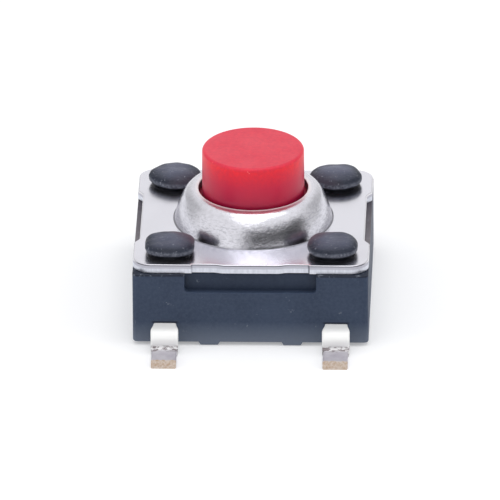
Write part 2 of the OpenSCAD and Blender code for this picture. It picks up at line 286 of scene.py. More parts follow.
def mouldedBlack():
    look = {"dark": (0.025, 0.039, 0.074), "light": (0.037, 0.054, 0.095),
            "flecked": (0.053, 0.074, 0.117), "shaded": (0.006, 0.009, 0.020),
            "speck": (0.16, 0.18, 0.22), "pale": (0.14, 0.165, 0.215),
            "notchLitFront": (0.24, 0.215, 0.235), "notchLit": (0.075, 0.065, 0.080),
            "mottle": 900, "grain": 26000, "fleck": 12000, "crumb": 7000, "dust": 3600, "notchLitNoise": 3000,
            "paintedLightHeights": (0.7, 0.1), "brink": (-0.06, -0.02), "recessDepth": (-0.05, -0.15),
            "recessSides": (0.22, 0.07), "recessFoot": (-0.1, 0), "gapOver": 0.025,
            "gapHalf": (0.035, 0.02), "gapEnds": (0.37, 0.31), "face": (-0.03, -0.01),
            "ledge": (-0.02, -0.004), "notchSides": (-0.17, -0.14), "notchEnds": (1.75, 1.6),
            "notchLitPlaces": (2.2, -0.8), "notchLitShift": 1.4, "roughness": (0.42, 0.58), "specular": 0.24}
    material, tree, shader = newMaterial("moulded black plastic")
    place = objectPlace(tree)
    x, y, height = axesAt(tree, place)
    across, deep = magnitude(tree, x), magnitude(tree, y)
    mottle = noiseAt(tree, place, look["mottle"], 4)
    colour = rampAt(tree, mottle, [(0.3, look["dark"]), (0.7, look["light"])])
    fleck = mapRange(tree, noiseAt(tree, place, look["fleck"], 3, 0.7), 0.35, 0.7, 0, 0.5)
    colour = mixColour(tree, fleck, colour, look["flecked"])
    lower = fade(tree, height, *look["paintedLightHeights"], 0, 0.85)  # painted light: paler toward the board
    colour = mixColour(tree, lower, colour, look["pale"])
    brink = fadeFrom(tree, height, housingTop, look["brink"], 0, 0.85)
    colour = mixColour(tree, brink, colour, look["shaded"])  # the shade under the cover's edge
    recessShade = product(tree, fadeFrom(tree, deep, housingHalf, look["recessDepth"], 0, 0.35),
                       fadeFrom(tree, across, housing["recessHalf"], look["recessSides"]),
                       fadeFrom(tree, height, housingTop - housing["recessHeight"], look["recessFoot"]))
    colour = mixColour(tree, recessShade, colour, look["shaded"])  # painted shade inside the front and back recess
    gapAway = distanceFrom(tree, height, wellFloor + look["gapOver"])
    leadAway = distanceFrom(tree, across, frameSizes["pitch"] / 2)
    gapShadeLine = product(tree, fade(tree, gapAway, *look["gapHalf"], 0, 0.75),  # painted shade: a dark gap line over each lead
                      fade(tree, leadAway, *look["gapEnds"]),
                      fadeFrom(tree, deep, housingHalf, look["face"]))
    colour = mixColour(tree, gapShadeLine, colour, look["shaded"])
    crumbs = mapRange(tree, noiseAt(tree, place, look["crumb"], 3, 0.6), 0.60, 0.66, 0, 0.8)
    colour = mixColour(tree, product(tree, crumbs, brink), colour, look["speck"])
    notchLit = product(tree, fadeFrom(tree, height, housingTop, look["ledge"], 0, 0.75),
                     fadeFrom(tree, across, housingHalf, look["notchSides"]),
                     fade(tree, deep, *look["notchEnds"]))  # painted light on the base's top, only in the cover's side notches
    notchLitNoise = noiseAt(tree, place, look["notchLitNoise"], 4, 0.6)
    along = addMath(tree, "MULTIPLY_ADD", notchLitNoise, look["notchLitShift"] * mm, y)
    wearAndNotchLight = fade(tree, along, *look["notchLitPlaces"])  # the painted light is paler toward the front
    colour = mixColour(tree, notchLit, colour, mixColour(tree, wearAndNotchLight, look["notchLit"], look["notchLitFront"]))
    dust = mapRange(tree, noiseAt(tree, place, look["dust"], 5, 0.75), 0.645, 0.69, 0, 0.7)
    fine = bumpFrom(tree, noiseAt(tree, place, look["grain"], 2), 0.35, 0.004)
    feed(tree, shader, {"Base Color": mixColour(tree, dust, colour, look["speck"]),
                        "Roughness": mapRange(tree, mottle, 0.3, 0.7, *look["roughness"]),
                        "Specular IOR Level": look["specular"],
                        "Normal": bumpFrom(tree, mottle, 0.2, 0.01, fine)})
    return material


def meltedPlastic():
    look = {"dark": (0.007, 0.010, 0.022), "light": (0.018, 0.023, 0.041),
            "crown": (0.100, 0.109, 0.158), "backCrownSheen": (0.17, 0.182, 0.255),
            "lipLight": (0.155, 0.166, 0.205), "innerTint": (0.095, 0.050, 0.072),
            "shaded": (0.003, 0.004, 0.008), "gritty": (0.036, 0.041, 0.060), "pale": (0.24, 0.25, 0.30),
            "mottle": 2600, "pits": 13000, "grit": 16000, "speckle": 11000,
            "crownSheenRise": (-0.1, 0), "backSheenPlaces": (1.8, 2.6), "innerTintPlaces": (2.85, 2.45),
            "lipHeight": 0.18, "lipHalf": 0.08, "underLip": (0.14, 0.09), "roughness": (0.40, 0.56),
            "specular": 0.2}
    material, tree, shader = newMaterial("melted stud plastic")
    place = objectPlace(tree)
    depth, height = axesAt(tree, place)[1:]
    mottle = noiseAt(tree, place, look["mottle"], 5)
    pits = noiseAt(tree, place, look["pits"], 3, 0.7)
    colour = rampAt(tree, mottle, [(0.3, look["dark"]), (0.72, look["light"])])
    grit = mapRange(tree, noiseAt(tree, place, look["grit"], 3, 0.7), 0.38, 0.68, 0, 0.55)
    colour = mixColour(tree, grit, colour, look["gritty"])
    # painted sheen: each head paler toward its top
    crown = fadeFrom(tree, height, plateTop + stud["height"], look["crownSheenRise"], 0, 0.9)
    back = fade(tree, depth, *look["backSheenPlaces"])  # painted sheen: the back pair is paler on its far side
    colour = mixColour(tree, crown, colour, mixColour(tree, back, look["crown"], look["backCrownSheen"]))
    inner = fade(tree, radiusAt(tree, place), *look["innerTintPlaces"], 0, 0.9)  # redder brown on the side toward the collar
    inner = product(tree, inner, fade(tree, depth, -0.5, 0.5, 1, 0.25))  # less so on the back pair
    colour = mixColour(tree, inner, colour, look["innerTint"])
    # painted light: a paler band at the lip, as lit by the bright plate below it, varied by the pits
    apart = distanceFrom(tree, height, plateTop + look["lipHeight"])
    lipLight = product(tree, fade(tree, apart, look["lipHalf"], look["lipHalf"] / 3),
                    mapRange(tree, pits, 0.38, 0.66, 0.25, 1))
    colour = mixColour(tree, lipLight, colour, look["lipLight"])
    flecks = mapRange(tree, noiseAt(tree, place, look["speckle"], 3, 0.65), 0.62, 0.69, 0, 0.7)
    colour = mixColour(tree, flecks, colour, look["pale"])
    under = fadeFrom(tree, height, plateTop, look["underLip"])  # the shade under the lip
    coarse = bumpFrom(tree, mottle, 0.8, 0.035)
    feed(tree, shader, {"Base Color": mixColour(tree, under, colour, look["shaded"]),
                        "Roughness": mapRange(tree, mottle, 0.3, 0.7, *look["roughness"]),
                        "Specular IOR Level": look["specular"],
                        "Normal": bumpFrom(tree, pits, 1, 0.016, coarse)})
    return material


def brightSheet():
    look = {"metal": (0.745, 0.74, 0.80), "stain": (0.58, 0.57, 0.62), "creaseShade": (0.16, 0.16, 0.19),
            "mouth": (0.92, 0.91, 0.93), "streak": (0.42, 0.42, 0.47), "gap": (0.06, 0.04, 0.05),
            "rolled": (0.10, 0.10, 0.12), "cloud": 600, "rolling": 9000, "pits": 14000, "peel": 9000,
            "drawing": 15000, "roughness": (0.18, 0.27), "peelRoughness": 0.21, "rimRoughness": 0.36,
            "rollRoughness": 0.25, "dullTinAndHighlightMetal": 0.3, "drawnPlaces": (2.14, 2.08), "mouthPlaces": (1.56, 1.47),
            "smoothPlaces": (1.66, 1.52), "streakPlaces": (1.80, 1.92), "creaseInside": 0.022,
            "creaseHalf": (0.024, 0.008), "holeWall": (0.013, 0.003), "rimHeights": (-0.003, -0.016),
            "rimPlaces": (2.5, 2.6), "notchPlaces": (2.85, 2.6)}
    material, tree, shader = newMaterial("bright rolled steel")
    place = objectPlace(tree)
    cloud = noiseAt(tree, place, look["cloud"], 4)
    rolling = noiseAt(tree, place, look["rolling"], 3, 0.6, (0.12, 1, 1))
    peel = noiseAt(tree, place, look["peel"], 4, 0.62)
    spots = mapRange(tree, noiseAt(tree, place, look["pits"], 2), 0.74, 0.8, 0, 0.5)
    colour = mixColour(tree, mapRange(tree, cloud, 0.45, 0.8, 0, 0.35), look["metal"], look["stain"])
    colour = mixColour(tree, spots, colour, look["stain"])
    radius = radiusAt(tree, place)
    drawn = fade(tree, radius, *look["drawnPlaces"])  # the stretched skin of the collar
    mouth = fade(tree, radius, *look["mouthPlaces"])
    sheetRough = mapRange(tree, cloud, 0.3, 0.7, *look["roughness"])
    skinRough = fade(tree, radius, *look["smoothPlaces"], look["peelRoughness"], look["rimRoughness"])
    rough = addNode(tree, "ShaderNodeMix", {"Factor": drawn, "A": sheetRough, "B": skinRough},
                    data_type="FLOAT").outputs[0]
    depth, height = axesAt(tree, place)[1:]
    side = magnitude(tree, depth)
    edge = fadeFrom(tree, height, plateTop, look["rimHeights"], 0, 0.9)
    rollHighlight = product(tree, edge, fade(tree, side, *look["notchPlaces"]),
                         fade(tree, radius, *look["rimPlaces"]))  # painted highlight: the rim is bright at the notches
    rolledOver = product(tree, edge, fade(tree, side, *reversed(look["notchPlaces"])))  # and a painted dark reflection beyond
    blotch = product(tree, mapRange(tree, peel, 0.45, 0.68, 0, 0.5), drawn)
    colour = mixColour(tree, blotch, colour, look["stain"])
    streaks = mapRange(tree, noiseAt(tree, place, look["drawing"], 4, 0.7, (0.5, 0.5, 1.6)), 0.5, 0.62)
    low = product(tree, fade(tree, radius, *look["streakPlaces"], 0, 0.55), streaks, drawn)
    colour = mixColour(tree, low, colour, look["streak"])  # drawing streaks low on the wall
    # painted highlight: the mouth of the hole is pale and less metallic, so that it reads bright
    colour = mixColour(tree, mouth, colour, look["mouth"])
    creaseAway = distanceFrom(tree, radius, filletX - look["creaseInside"])
    creaseShadeLine = fade(tree, creaseAway, *look["creaseHalf"], 0, 0.8)
    colour = mixColour(tree, creaseShadeLine, colour, look["creaseShade"])  # painted shade in the crease at the foot
    colour = mixColour(tree, rolledOver, colour, look["rolled"])
    colour = mixColour(tree, rollHighlight, colour, look["mouth"])
    gapShade = fadeFrom(tree, radius, collar["holeRadius"], look["holeWall"], 0, 0.9)  # painted shade on the hole's wall, in the gap
    metallic = product(tree, fade(tree, radius, *look["mouthPlaces"], 1, look["dullTinAndHighlightMetal"]),
                       mapRange(tree, rollHighlight, 0, 0.9, 1, look["dullTinAndHighlightMetal"]))
    wave = bumpFrom(tree, cloud, 0.25, 0.01)
    skin = bumpFrom(tree, product(tree, peel, drawn), 0.5, 0.010, wave)
    duller = addMath(tree, "MULTIPLY_ADD", rolledOver, look["rollRoughness"], rough)
    feed(tree, shader, {"Base Color": mixColour(tree, gapShade, colour, look["gap"]),
                        "Roughness": duller,
                        "Metallic": metallic,
                        "Normal": bumpFrom(tree, rolling, 0.12, 0.002, skin)})
    return material


def shearedSteel():
    look = {"light": (0.77, 0.79, 0.86), "dark": (0.62, 0.64, 0.71), "rolled": (0.46, 0.45, 0.51),
            "reliefStepShade": (0.16, 0.16, 0.19), "grain": 12000, "rolledHeights": (-0.13, -0.09),
            "stepShadeHalf": (0.032, 0.012), "roughness": (0.3, 0.45)}
    material, tree, shader = newMaterial("sheared steel edge")
    place = objectPlace(tree)
    x, height = axesAt(tree, place)[::2]
    torn = noiseAt(tree, place, look["grain"], 3, 0.6, (1, 1, 0.25))
    colour = rampAt(tree, torn, [(0.35, look["dark"]), (0.65, look["light"])])
    # painted dark reflection: the upper band of the sheared edge is darker
    rolled = fadeFrom(tree, height, plateTop, look["rolledHeights"], 0, 0.8)
    colour = mixColour(tree, rolled, colour, look["rolled"])
    apart = distanceFrom(tree, magnitude(tree, x), plate["reliefX"] + plate["reliefHalf"])
    stepShadeBand = fade(tree, apart, *look["stepShadeHalf"])  # painted shade in the steps of the reliefs
    reliefStepShade = product(tree, stepShadeBand, fade(tree, x, -1, 1, 0.3, 0.8))  # stronger on the right
    feed(tree, shader, {"Base Color": mixColour(tree, reliefStepShade, colour, look["reliefStepShade"]),
                        "Metallic": 1,
                        "Roughness": mapRange(tree, torn, 0.3, 0.7, *look["roughness"]),
                        "Normal": bumpFrom(tree, torn, 0.4, 0.006)})
    return material


def redPlastic():
    look = {"foot": (0.33, 0.005, 0.044), "side": (0.57, 0.006, 0.046), "rim": (0.90, 0.011, 0.024),
            "top": (0.75, 0.032, 0.070), "cloudy": (0.66, 0.024, 0.055), "glow": (1.0, 0.12, 0.10),
            "fleck": (0.95, 0.26, 0.26), "dusky": (0.50, 0.010, 0.050), "cloud": 1200, "grain": 24000,
            "mottle": 9000, "flecks": 4200, "roughness": (0.34, 0.46), "specular": 0.4,
            "glowShare": 0.2, "glowDepth": 0.25}
    material, tree, shader = newMaterial("red button plastic")
    place = objectPlace(tree)
    height = axesAt(tree, place)[2]
    cloud = noiseAt(tree, place, look["cloud"], 4)
    # painted shade and light: the side darker toward its foot, brightest at the rim under the top
    rise = fade(tree, height, collarTop, buttonHigh.z)
    depth = rampAt(tree, rise, [(0.02, look["foot"]), (0.45, look["side"]), (0.9, look["rim"]),
                                (0.995, look["top"])])
    colour = mixColour(tree, mapRange(tree, cloud, 0.35, 0.75, 0, 0.35), depth, look["cloudy"])
    mottle = mapRange(tree, noiseAt(tree, place, look["mottle"], 3, 0.7), 0.35, 0.65, 0.35, 0)
    colour = mixColour(tree, mottle, colour, look["dusky"])
    fleck = mapRange(tree, noiseAt(tree, place, look["flecks"], 4, 0.7), 0.69, 0.75, 0, 0.7)
    feed(tree, shader, {"Base Color": mixColour(tree, fleck, colour, look["fleck"]),
                        "Roughness": mapRange(tree, cloud, 0.3, 0.7, *look["roughness"]),
                        "Specular IOR Level": look["specular"],
                        "Subsurface Weight": look["glowShare"],
                        "Subsurface Radius": look["glow"],
                        "Subsurface Scale": look["glowDepth"] * mm,
                        "Normal": bumpFrom(tree, noiseAt(tree, place, look["grain"], 2), 0.2, 0.003)})
    return material


def tinnedBrass():
    look = {"tin": (0.885, 0.885, 0.88), "dullTinAndHighlightMetal": (0.38, 0.355, 0.415), "brass": (0.42, 0.30, 0.215),
            "scratch": (0.17, 0.14, 0.15), "cloud": 2500, "grain": 16000, "scratches": 11000,
            "foot": (-0.84, -0.66), "beyondBend": (-0.60, -0.68), "bendHeights": (0.31, 0.25),
            "cutEnd": (-0.10, -0.08), "cutShift": 0.06, "roughness": (0.36, 0.5), "metallic": 0.06}
    material, tree, shader = newMaterial("tinned brass")
    place = objectPlace(tree)
    depth, height = axesAt(tree, place)[1:]
    reach = magnitude(tree, depth)
    cloud = noiseAt(tree, place, look["cloud"], 4)
    grain = noiseAt(tree, place, look["grain"], 3, 0.6)
    wearAndNotchLight = product(tree, fadeFrom(tree, reach, leadTip, look["foot"]),
                   mapRange(tree, cloud, 0.3, 0.7, 0.7, 1))
    tin = mixColour(tree, wearAndNotchLight, look["tin"], look["dullTinAndHighlightMetal"])
    scratches = noiseAt(tree, place, look["scratches"], 3, 0.6, (0.6, 1, 1))
    scraped = product(tree, mapRange(tree, scratches, 0.48, 0.56, 0, 0.95),  # scraped at the lower bend
                      fade(tree, height, *look["bendHeights"]),
                      fadeFrom(tree, reach, leadTip, look["beyondBend"]))
    tin = mixColour(tree, scraped, tin, look["scratch"])
    edge = addMath(tree, "MULTIPLY_ADD", grain, look["cutShift"] * mm, reach)
    cutEnd = fadeFrom(tree, edge, leadTip, look["cutEnd"])  # bare brass
    patch = mixColour(tree, mapRange(tree, grain, 0.35, 0.65, 0.34, 0), look["brass"], look["tin"])
    feed(tree, shader, {"Base Color": mixColour(tree, cutEnd, tin, patch),
                        "Roughness": mapRange(tree, cloud, 0.3, 0.7, *look["roughness"]),
                        "Metallic": look["metallic"],
                        "Normal": bumpFrom(tree, grain, 0.3, 0.006)})
    return material


def springSheet():
    look = {"dark": (0.66, 0.65, 0.62), "light": (0.78, 0.77, 0.75), "cloud": 1500,
            "roughness": (0.2, 0.35)}
    material, tree, shader = newMaterial("spring sheet")
    cloud = noiseAt(tree, objectPlace(tree), look["cloud"], 4)
    feed(tree, shader, {"Base Color": rampAt(tree, cloud, [(0.3, look["dark"]), (0.7, look["light"])]),
                        "Roughness": mapRange(tree, cloud, 0.3, 0.7, *look["roughness"]),
                        "Metallic": 1})
    return material


# Cover: stamped plate with a drawn collar

collar = {"holeRadius": 1.44, "rim": 0.09, "shoulder": 0.35, "lean": 20, "footLean": 14,
          "shoulderLean": 30, "fillet": 0.04, "breakEdge": 0.03, "joinRoom": 0.05, "steps": 144}
plate = {"corner": 0.5, "edgeRound": 0.05, "lowerRound": 0.015, "notchHalf": 1.375, "notchDepth": 0.14,
         "notchSlant": 0.22, "notchRound": 0.05, "reliefX": 1.14, "reliefHalf": 0.4, "reliefDepth": 0.06,
         "reliefSlope": 0.2, "reliefDraft": 0.01, "reliefRound": 0.06, "rolledHeight": 0.04}
stud = {"toSide": 0.28, "toCollar": 0.21, "overhang": 0.23, "lipGap": 0.07, "lip": 0.12, "foot": 0.15,
        "room": 0.04, "middle": 0.2, "height": 0.4, "crowns": (0.86, 1.12, 0.74, 1.04),
        "square": (0.042, 0, 0.034, 0.01), "wander": 0.045, "ripple": 0.03, "swell": 0.03,
        "rippleHeight": 0.16, "rippleHalf": 0.12, "steps": 96, "holeSteps": 32}


def collarShape():  # arc centres and radii that follow from the collar's sizes
    lean = math.radians(collar["lean"])
    shoulderX = collar["holeRadius"] + collar["rim"]
    shoulderZ = collarTop - collar["shoulder"]
    wallX = shoulderX + collar["shoulder"] * math.cos(lean)
    wallZ = shoulderZ + collar["shoulder"] * math.sin(lean)

    def wallAt(z):
        return wallX + (wallZ - z) * math.tan(lean)

    bend = collar["fillet"] + sheet["collarWall"]
    filletX = wallAt(plateTop + collar["fillet"]) + collar["fillet"] / math.cos(lean)
    bendX = wallAt(housingTop + bend) + (bend - sheet["collarWall"]) / math.cos(lean)
    return shoulderX, shoulderZ, bend, filletX, bendX


shoulderX, shoulderZ, bendRadius, filletX, bendX = collarShape()
joinRadius = max(filletX, bendX) + collar["joinRoom"]
headRadius = ((math.sqrt(2) * (housingHalf - stud["toSide"]) - filletX - stud["toCollar"])
              / (1 + math.sqrt(2)))
studPlace = housingHalf - stud["toSide"] - headRadius
studRadius = headRadius - stud["overhang"]
studPlaces = [(x, y) for x in (-studPlace, studPlace) for y in (-studPlace, studPlace)]


def wallCurve(foot, footLean, top, topLean, steps):  # drawn wall, easing from one lean to the other
    low, high = math.radians(footLean), math.radians(topLean)
    across, up = top[0] - foot[0], top[1] - foot[1]
    length = (across * math.cos(high) + up * math.sin(high)) / math.sin(high - low)
    middle = (foot[0] - length * math.sin(low), foot[1] + length * math.cos(low))
    points = []
    for i in range(1, steps):
        t = i / steps
        points.append(tuple((1 - t) ** 2 * a + 2 * t * (1 - t) * b + t * t * c
                            for a, b, c in zip(foot, middle, top)))
    return points


def plateOutline(bm):  # one flat face with rounded corners, notches and shear reliefs
    halfX, halfY = housingHalf, coverHigh.y
    outer = -plate["reliefX"] - plate["reliefHalf"]
    inner = -plate["reliefX"] + plate["reliefHalf"]
    relief = [(outer, 0), (outer + plate["reliefDraft"], plate["reliefDepth"]),
              (inner - plate["reliefSlope"], plate["reliefDepth"]), (inner, 0)]
    relief += [(-x, depth) for x, depth in reversed(relief)]
    low, high = -plate["notchHalf"], plate["notchHalf"]
    notch = [(0, low - plate["notchSlant"]), (plate["notchDepth"], low),
             (plate["notchDepth"], high), (0, high + plate["notchSlant"])]
    points = [(-halfX, -halfY)] + [(x, -halfY + d) for x, d in relief] + [(halfX, -halfY)]
    points += [(halfX - d, y) for d, y in notch] + [(halfX, halfY)]
    points += [(-x, halfY - d) for x, d in relief] + [(-halfX, halfY)]
    points += [(-halfX + d, y) for d, y in reversed(notch)]
    bm.faces.new([bm.verts.new((x, y, plateTop)) for x, y in points])

    def roundWhere(test, width, segments):
        roundCorners(bm, [v for v in bm.verts if test(abs(v.co.x), abs(v.co.y))], width, segments)

    roundWhere(lambda x, y: abs(x - halfX) < near and abs(y - halfY) < near, plate["corner"], 12)
    roundWhere(lambda x, y: abs(x + inner) < near or abs(x + inner - plate["reliefSlope"]) < near,
               plate["reliefRound"], 4)
    roundWhere(lambda x, y: abs(x - halfX + plate["notchDepth"]) < near, plate["notchRound"], 3)


def fillWithHoles(bm, face, height, facing):  # replaces a flat face by one with the holes in it
    rim = list(face.edges)
    bmesh.ops.delete(bm, geom=[face], context="FACES_ONLY")
    circles = [(joinRadius, 0, 0, collar["steps"])]
    circles += [(studRadius + stud["room"], x, y, stud["holeSteps"]) for x, y in studPlaces]
    loops = []
    for radius, x, y, steps in circles:
        ring = bmesh.ops.create_circle(bm, radius=radius, segments=steps)["verts"]
        bmesh.ops.translate(bm, vec=(x, y, height), verts=ring)
        loops.append(list({e for v in ring for e in v.link_edges}))
    bmesh.ops.triangle_fill(bm, edges=rim + sum(loops, []), use_beauty=True, use_dissolve=False,
                            normal=(0, 0, facing))
    return loops


def collarProfile():  # from the plate's top face over the mouth to its lower face
    lean, hole, wall = collar["lean"], collar["holeRadius"], sheet["collarWall"]
    profile = [(joinRadius, plateTop)]
    profile += arcPoints((filletX, plateTop + collar["fillet"]), collar["fillet"], 270,
                         180 + collar["footLean"], 6)
    shoulder = arcPoints((shoulderX, shoulderZ), collar["shoulder"], collar["shoulderLean"], 90, 14)
    profile += wallCurve(profile[-1], collar["footLean"], shoulder[0], collar["shoulderLean"], 12)
    profile += shoulder
    profile += arcPoints((hole + collar["breakEdge"], collarTop - collar["breakEdge"]),
                         collar["breakEdge"], 90, 180, 4)
    profile += [(hole, collarTop - wall)]
    profile += arcPoints((shoulderX, shoulderZ), collar["shoulder"] - wall, 90, lean, 8)
    profile += arcPoints((bendX, housingTop + bendRadius), bendRadius, 180 + lean, 270, 8)
    return profile + [(joinRadius, housingTop)]


def makeCover():
    bm = bmesh.new()
    plateOutline(bm)
    made = bmesh.ops.extrude_face_region(bm, geom=bm.faces[:])["geom"]
    bmesh.ops.translate(bm, vec=(0, 0, -sheet["thickness"]),
                        verts=[g for g in made if isinstance(g, bmesh.types.BMVert)])
    bevelEdges(bm, edgesWhere(bm, lambda c: c.z > plateTop - near), plate["edgeRound"], 4)
    bevelEdges(bm, edgesWhere(bm, lambda c: c.z < housingTop + near), plate["lowerRound"], 1)
    flats = sorted(bm.faces, key=lambda f: f.calc_area())[-2:]
    top, bottom = sorted(flats, key=lambda f: -f.calc_center_median().z)
    upper = fillWithHoles(bm, top, plateTop, 1)
    lower = fillWithHoles(bm, bottom, housingTop, -1)
    for above, below in list(zip(upper, lower))[1:]:
        bmesh.ops.bridge_loops(bm, edges=above + below)
    spinProfile(bm, collarProfile(), collar["steps"])
    bm.normal_update()
    for face in bm.faces:  # the sheared edge, below its rolled rim
        place = face.calc_center_median()
        if (abs(face.normal.z) < 0.5 and place.z < plateTop - plate["rolledHeight"]
                and place.xy.length > joinRadius + 0.1):
            face.material_index = 1
    finishPiece(bm, "steel_cover", "housing", "cover", [brightSheet(), shearedSteel()], 40)


makeCover()


# Housing: moulded block with its well, studs and melted heads

housing = {"corner": 0.12, "edge": 0.04, "faceEdge": 0.018, "underside": 0.1, "recessHalf": 1.73,
           "recessHeight": 0.5, "recessDepth": 0.22, "recessCorner": 0.1, "padX": 1.09, "padHalf": 0.3,
           "padLength": 0.8, "padSink": 0.05, "padDraft": 0.01, "gateRadius": 0.6, "gateDepth": 0.08,
           "toolRadius": 0.2, "toolY": 1.3, "wellRoom": 0.1}


def housingCutter():  # everything that is hollow in the moulding, as one mesh of closed shells
    tool = bmesh.new()
    over = 0.5  # how far the cutters stand out of the block
    low = housingTop - housing["recessHeight"]
    for side in (-1, 1):
        depths = sorted((side * (housingHalf - housing["recessDepth"]), side * (housingHalf + over)))
        made = addBlock(tool, (-housing["recessHalf"], depths[0], low),
                        (housing["recessHalf"], depths[1], housingTop + over))
        lower = [e for e in tool.edges if all(v in made for v in e.verts)
                 and all(v.co.z < low + near for v in e.verts)
                 and abs(e.verts[0].co.x - e.verts[1].co.x) < near]
        bevelEdges(tool, lower, housing["recessCorner"], 8)
    addRod(tool, domeRadius + housing["wellRoom"], wellFloor, housingTop + over, 96)
    addRod(tool, housing["gateRadius"], housing["underside"] - over,
           housing["underside"] + housing["gateDepth"], 48)
    for x in (-railX, railX):
        for y in (-housing["toolY"], housing["toolY"]):
            addRod(tool, housing["toolRadius"], housing["underside"] - over,
                   leadSheet["exitHeight"], 24, (x, y))
    return tool


def addPads(bm):  # low stand-off pads with sloping sides under the front and back edges
    depth = housing["underside"] - baseLow.z
    for x in (-housing["padX"], housing["padX"]):
        for side in (-1, 1):
            ends = sorted((side * housingHalf, side * (housingHalf - housing["padLength"])))
            made = addBlock(bm, (x - housing["padHalf"], ends[0], baseLow.z),
                            (x + housing["padHalf"], ends[1], housing["underside"] + housing["padSink"]))
            for v in made:
                if v.co.z < housing["underside"] - depth / 2:
                    v.co.x -= math.copysign(depth, v.co.x - x)
                    v.co.y -= side * housing["padDraft"]


def headProfile(power):  # post, lip and crown of a melted stud
    crown = stud["height"] - stud["middle"]
    lip = stud["middle"] - stud["lipGap"]
    profile = [(0, housingTop - 0.1), (studRadius, housingTop - 0.1), (studRadius, plateTop),
               (headRadius - stud["foot"], plateTop)]
    for i in range(9):
        a = math.radians(-90 + 90 * i / 8)
        profile.append((headRadius - stud["lip"] + stud["lip"] * math.cos(a),
                        plateTop + stud["middle"] + lip * math.sin(a)))
    for i in range(1, 17):
        a = math.radians(90 * i / 16)
        profile.append((headRadius * max(0, math.cos(a)) ** power,
                        plateTop + stud["middle"] + crown * math.sin(a)))
    profile[-1] = (0, plateTop + stud["height"])
    return profile


def addStud(bm, x, y, seed):  # post and pebble-shaped head, each a little different
    made = spinProfile(bm, headProfile(stud["crowns"][seed - 1]), stud["steps"])
    for v in made:
        up = v.co.z - plateTop
        if up < 0.005 or v.co.xy.length < near:
            continue
        shift = noise.noise(Vector((v.co.x * 2.6, v.co.y * 2.6, seed * 7.3))) * stud["wander"]
        atLip = max(0, 1 - abs(up - stud["rippleHeight"]) / stud["rippleHalf"])
        rough = noise.noise(v.co * 9 + Vector((seed, 0, 0))) * stud["ripple"] * atLip
        turn = math.atan2(v.co.y, v.co.x)
        v.co.xy *= 1 + shift + rough - stud["square"][seed - 1] * math.cos(4 * turn)
        swell = noise.noise(Vector((v.co.x * 3.4, v.co.y * 3.4, seed * 3.1))) * stud["swell"]
        v.co.z += swell * up / stud["height"]
    bmesh.ops.translate(bm, vec=(x, y, 0), verts=made)
    for face in {f for v in made for f in v.link_faces}:
        face.material_index = 1


def makeHousing():
    bm = bmesh.new()
    addBlock(bm, (-housingHalf, -housingHalf, housing["underside"]),
             (housingHalf, housingHalf, housingTop))
    upright = [e for e in bm.edges if (e.verts[0].co - e.verts[1].co).xy.length < near]
    bevelEdges(bm, upright, housing["corner"], 6)
    bevelEdges(bm, edgesWhere(bm, lambda c: c.z < housing["underside"] + near), housing["edge"], 3)
    bm = carve(bm, housingCutter())
    bmesh.ops.remove_doubles(bm, verts=bm.verts, dist=weld)
    outside = edgesWhere(bm, lambda c: (abs(c.y) > housingHalf - near or c.z > housingTop - near)
                         and c.xy.length > domeRadius + 0.3)
    bevelEdges(bm, [e for e in outside if len(e.link_faces) == 2 and e.calc_face_angle() > 0.7],
               housing["faceEdge"], 2)
    addPads(bm)
    for seed, (x, y) in enumerate(studPlaces):
        addStud(bm, x, y, seed + 1)
    finishPiece(bm, "moulded_housing", "housing", "base", [mouldedBlack(), meltedPlastic()])


makeHousing()


# Button: turned profile with a rounded top edge

plunger = {"radius": 1.35, "topRound": 0.08, "flangeRoom": 0.08, "flangeHeight": 0.6, "flangeBevel": 0.1,
           "hubRadius": 1.0, "pipRadius": 0.5, "pipHeight": 0.3, "pipRound": 0.06, "play": 0.02,
           "draft": 0.006, "steps": 160}


def makeButton():
    bm = bmesh.new()
    low, top = buttonLow.z, buttonHigh.z
    flangeRadius = shoulderX + collar["shoulder"] - sheet["collarWall"] - plunger["flangeRoom"]
    flangeTop = collarTop - sheet["collarWall"] - plunger["play"]
    flangeLow = flangeTop - plunger["flangeHeight"]
    topRadius = plunger["radius"] - plunger["draft"]
    profile = [(0, low)]
    profile += arcPoints((plunger["pipRadius"] - plunger["pipRound"], low + plunger["pipRound"]),
                         plunger["pipRound"], 270, 360, 5)
    profile += [(plunger["pipRadius"], low + plunger["pipHeight"]),
                (plunger["hubRadius"], low + plunger["pipHeight"]),
                (plunger["hubRadius"], flangeLow), (flangeRadius, flangeLow),
                (flangeRadius, flangeTop - plunger["flangeBevel"]),
                (flangeRadius - plunger["flangeBevel"], flangeTop),
                (plunger["radius"], flangeTop)]
    profile += arcPoints((topRadius - plunger["topRound"], top - plunger["topRound"]),
                         plunger["topRound"], 0, 90, 8)
    profile += [(topRadius * 0.6, top), (0, top)]
    spinProfile(bm, profile, plunger["steps"])
    finishPiece(bm, "red_button", "plunger", "button", [redPlastic()])


makeButton()


# Snap dome, spun in its resting shape; the real dome flattens as the button goes down

dome = {"thickness": 0.07, "land": 0.1, "flattened": 0.2, "arcSteps": 16, "steps": 96}


def makeDome():
    bm = bmesh.new()
    seat, thick = domeLow.z, dome["thickness"]
    rise = domeHigh.z - seat - thick
    cap = domeRadius - dome["land"]
    curve = (cap * cap + rise * rise) / (2 * rise)
    edge = math.degrees(math.asin(cap / curve))
    centre = (0, seat + rise - curve)
    profile = arcPoints(centre, curve, 90, 90 - edge, dome["arcSteps"])
    profile += [(domeRadius, seat), (domeRadius, seat + thick)]
    profile += arcPoints(centre, curve + thick, 90 - edge, 90, dome["arcSteps"])
    spinProfile(bm, profile, dome["steps"])
    piece = finishPiece(bm, "snap_dome", "housing", "contact_dome", [springSheet()])
    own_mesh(piece)


makeDome()


# Lead frames: stamped strips with gull-wing leads

